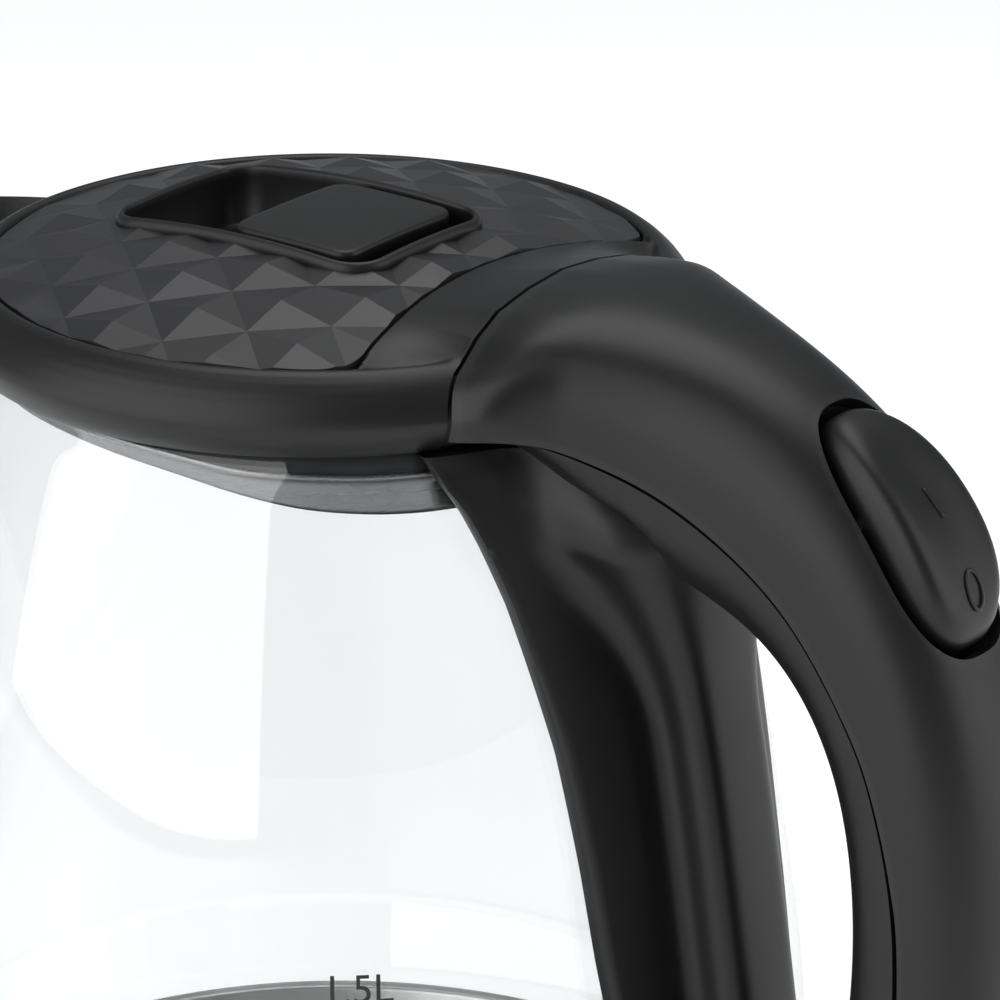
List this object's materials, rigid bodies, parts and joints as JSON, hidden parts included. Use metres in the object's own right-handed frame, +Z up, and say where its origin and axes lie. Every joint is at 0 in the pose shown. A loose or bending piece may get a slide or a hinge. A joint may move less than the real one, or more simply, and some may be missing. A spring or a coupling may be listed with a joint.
{
  "type": "electric kettle",
  "caption": "Glass kettle with a black collar, hinged lid with sliding latch, spout and loop handle with a rocker switch, standing on a round power base.",
  "frame": {"origin": "centre of the power base's footprint, on the surface it stands on", "axes": "+Z up, +X towards the handle, -X towards the spout"},
  "size_m": [0.2193, 0.1644, 0.2175],
  "materials": {
    "black_plastic": "satin, fine grain",
    "inner_plastic": "plain moulded",
    "glass": "clear",
    "steel": "fine brushed",
    "fastener_steel": "zinc plated",
    "contact_brass": "plain",
    "seal_rubber": "plain",
    "wire_sleeve": "plain"
  },
  "bodies": {
    "base": {"base_shell": "black_plastic", "base_cover": "inner_plastic", "base_screws": "fastener_steel", "rubber_foot": "seal_rubber", "connector_post": "inner_plastic", "live_contact": "contact_brass", "neutral_contact": "contact_brass", "cord_gland": "inner_plastic"},
    "centre_pin": {"earth_pin": "contact_brass"},
    "kettle": {"lower_housing": "black_plastic", "collar": "black_plastic", "handle_outer_shell": "black_plastic", "handle_inner_shell": "black_plastic", "bottom_cover": "inner_plastic", "coupler_socket": "inner_plastic", "switch_module": "inner_plastic", "glass_jug": "glass", "heating_plate": "steel", "neck_ring": "steel", "spout_filter": "steel", "heating_element": "steel", "thermostat_disc": "steel", "steam_thermostat": "steel", "bottom_screws": "fastener_steel", "lid_hinge_pin": "fastener_steel", "rocker_pin": "fastener_steel", "lid_spring": "fastener_steel", "element_terminals": "contact_brass", "lower_gasket": "seal_rubber", "upper_gasket": "seal_rubber", "switch_wires": "wire_sleeve"},
    "lid": {"lid_panel": "black_plastic", "latch_well": "black_plastic", "lid_inner_cover": "inner_plastic", "lid_seal": "seal_rubber", "lid_screws": "fastener_steel", "latch_spring": "fastener_steel"},
    "latch": {"latch_slider": "black_plastic"},
    "rocker": {"rocker_switch": "black_plastic"}
  },
  "joints": [
    {"name": "kettle_swivel", "type": "hinge", "parent": "base", "child": "centre_pin", "pos_m": [0, 0, 0], "axis": [0, 0, 1], "continuous": true},
    {"name": "kettle_lift", "type": "slide", "parent": "centre_pin", "child": "kettle", "axis": [0, 0, 1], "range_m": [0, 0.08]},
    {"name": "lid_hinge", "type": "hinge", "parent": "kettle", "child": "lid", "pos_m": [0.04, 0, 0.2096], "axis": [0, 1, 0], "range_deg": [0, 75]},
    {"name": "latch_slide", "type": "slide", "parent": "lid", "child": "latch", "axis": [1, 0, 0], "range_m": [0, 0.004], "stiffness_N_per_m": 300, "springref_m": -0.003},
    {"name": "rocker_tilt", "type": "hinge", "parent": "kettle", "child": "rocker", "pos_m": [0.10976, 0, 0.18932], "axis": [0, 1, 0], "range_deg": [0, 8]}
  ]
}
